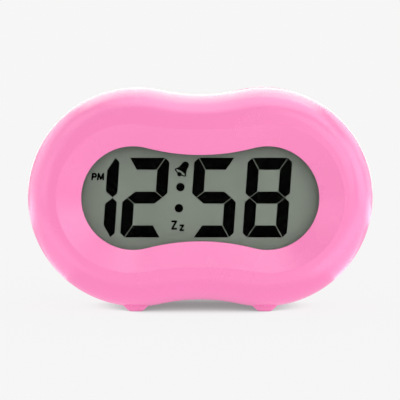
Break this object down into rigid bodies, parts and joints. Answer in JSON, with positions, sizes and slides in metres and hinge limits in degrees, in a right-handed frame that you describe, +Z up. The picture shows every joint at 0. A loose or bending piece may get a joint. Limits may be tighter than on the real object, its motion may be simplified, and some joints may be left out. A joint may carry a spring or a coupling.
{
  "type": "digital alarm clock",
  "caption": "Pink bedside alarm clock with a peanut-shaped case, a dished frame round a liquid crystal display, a snooze button on top, set buttons and a hinged battery door behind",
  "frame": {"origin": "on the table under the middle of the clock, at the middle of its depth", "axes": "+X along the width to the viewer's right, +Z up, and the display faces -Y"},
  "size_m": [0.13, 0.045, 0.0846],
  "materials": {
    "case_pink": "satin moulded plastic, pink",
    "key_white": "satin moulded plastic, white",
    "lens_clear": "clear moulded plastic",
    "display_glass": "clear glass with a polarising film",
    "display_back": "glass backed by a grey-green film",
    "segment_black": "dark liquid crystal",
    "reflector_grey": "grey-green reflecting film",
    "guide_white": "milky light guide",
    "lamp_white": "small white lamps",
    "strip_rubber": "layered conducting rubber",
    "board_green": "green circuit board",
    "screw_steel": "plated steel",
    "resin_black": "black resin",
    "can_steel": "drawn metal can",
    "sleeve_dark": "dark shrink sleeve",
    "switch_black": "black moulded plastic",
    "actuator_black": "black moulded plastic",
    "cell_jacket": "plain printed jacket over steel",
    "contact_nickel": "nickel plated spring steel",
    "buzzer_brass": "thin brass disc",
    "buzzer_ceramic": "silvered ceramic disc",
    "ribbon_grey": "flat grey cable"
  },
  "bodies": {
    "case": {"front_case": "case_pink", "rear_case": "case_pink", "display_lens": "lens_clear", "lcd_front_glass": "display_glass", "lcd_rear_glass": "display_back", "lcd_segments": "segment_black", "reflector_sheet": "reflector_grey", "light_guide": "guide_white", "backlight_lamps": "lamp_white", "contact_strips": "strip_rubber", "main_board": "board_green", "key_board": "board_green", "board_screws": "screw_steel", "key_board_screws": "screw_steel", "case_screws": "screw_steel", "clock_chip": "resin_black", "quartz_crystal": "can_steel", "capacitor": "sleeve_dark", "snooze_switch": "switch_black", "key_switches": "switch_black", "slide_switch": "switch_black", "battery_cells": "cell_jacket", "contact_plates": "contact_nickel", "contact_leaves": "contact_nickel", "buzzer_plate": "buzzer_brass", "buzzer_ceramic": "buzzer_ceramic", "ribbon_cable": "ribbon_grey"},
    "snooze": {"snooze_button": "case_pink", "snooze_actuator": "actuator_black"},
    "time_key": {"time_button": "key_white", "time_actuator": "actuator_black"},
    "alarm_key": {"alarm_button": "key_white", "alarm_actuator": "actuator_black"},
    "hour_key": {"hour_button": "key_white", "hour_actuator": "actuator_black"},
    "minute_key": {"minute_button": "key_white", "minute_actuator": "actuator_black"},
    "alarm_switch": {"alarm_slider": "key_white", "slide_lever": "actuator_black"},
    "door": {"battery_door": "case_pink"}
  },
  "joints": [
    {"name": "snooze_press", "type": "slide", "parent": "case", "child": "snooze", "axis": [0, 0, -1], "range_m": [0, 0.0009], "stiffness_N_per_m": 400, "springref_m": -0.001},
    {"name": "time_press", "type": "slide", "parent": "case", "child": "time_key", "axis": [0, -1, 0], "range_m": [0, 0.0006], "stiffness_N_per_m": 400, "springref_m": -0.0008},
    {"name": "alarm_press", "type": "slide", "parent": "case", "child": "alarm_key", "axis": [0, -1, 0], "range_m": [0, 0.0006], "stiffness_N_per_m": 400, "springref_m": -0.0008},
    {"name": "hour_press", "type": "slide", "parent": "case", "child": "hour_key", "axis": [0, -1, 0], "range_m": [0, 0.0006], "stiffness_N_per_m": 400, "springref_m": -0.0008},
    {"name": "minute_press", "type": "slide", "parent": "case", "child": "minute_key", "axis": [0, -1, 0], "range_m": [0, 0.0006], "stiffness_N_per_m": 400, "springref_m": -0.0008},
    {"name": "alarm_slide", "type": "slide", "parent": "case", "child": "alarm_switch", "axis": [1, 0, 0], "range_m": [0, 0.004]},
    {"name": "door_hinge", "type": "hinge", "parent": "case", "child": "door", "pos_m": [0, 0.0215, 0.0185], "axis": [-1, 0, 0], "range_deg": [0, 80]}
  ]
}
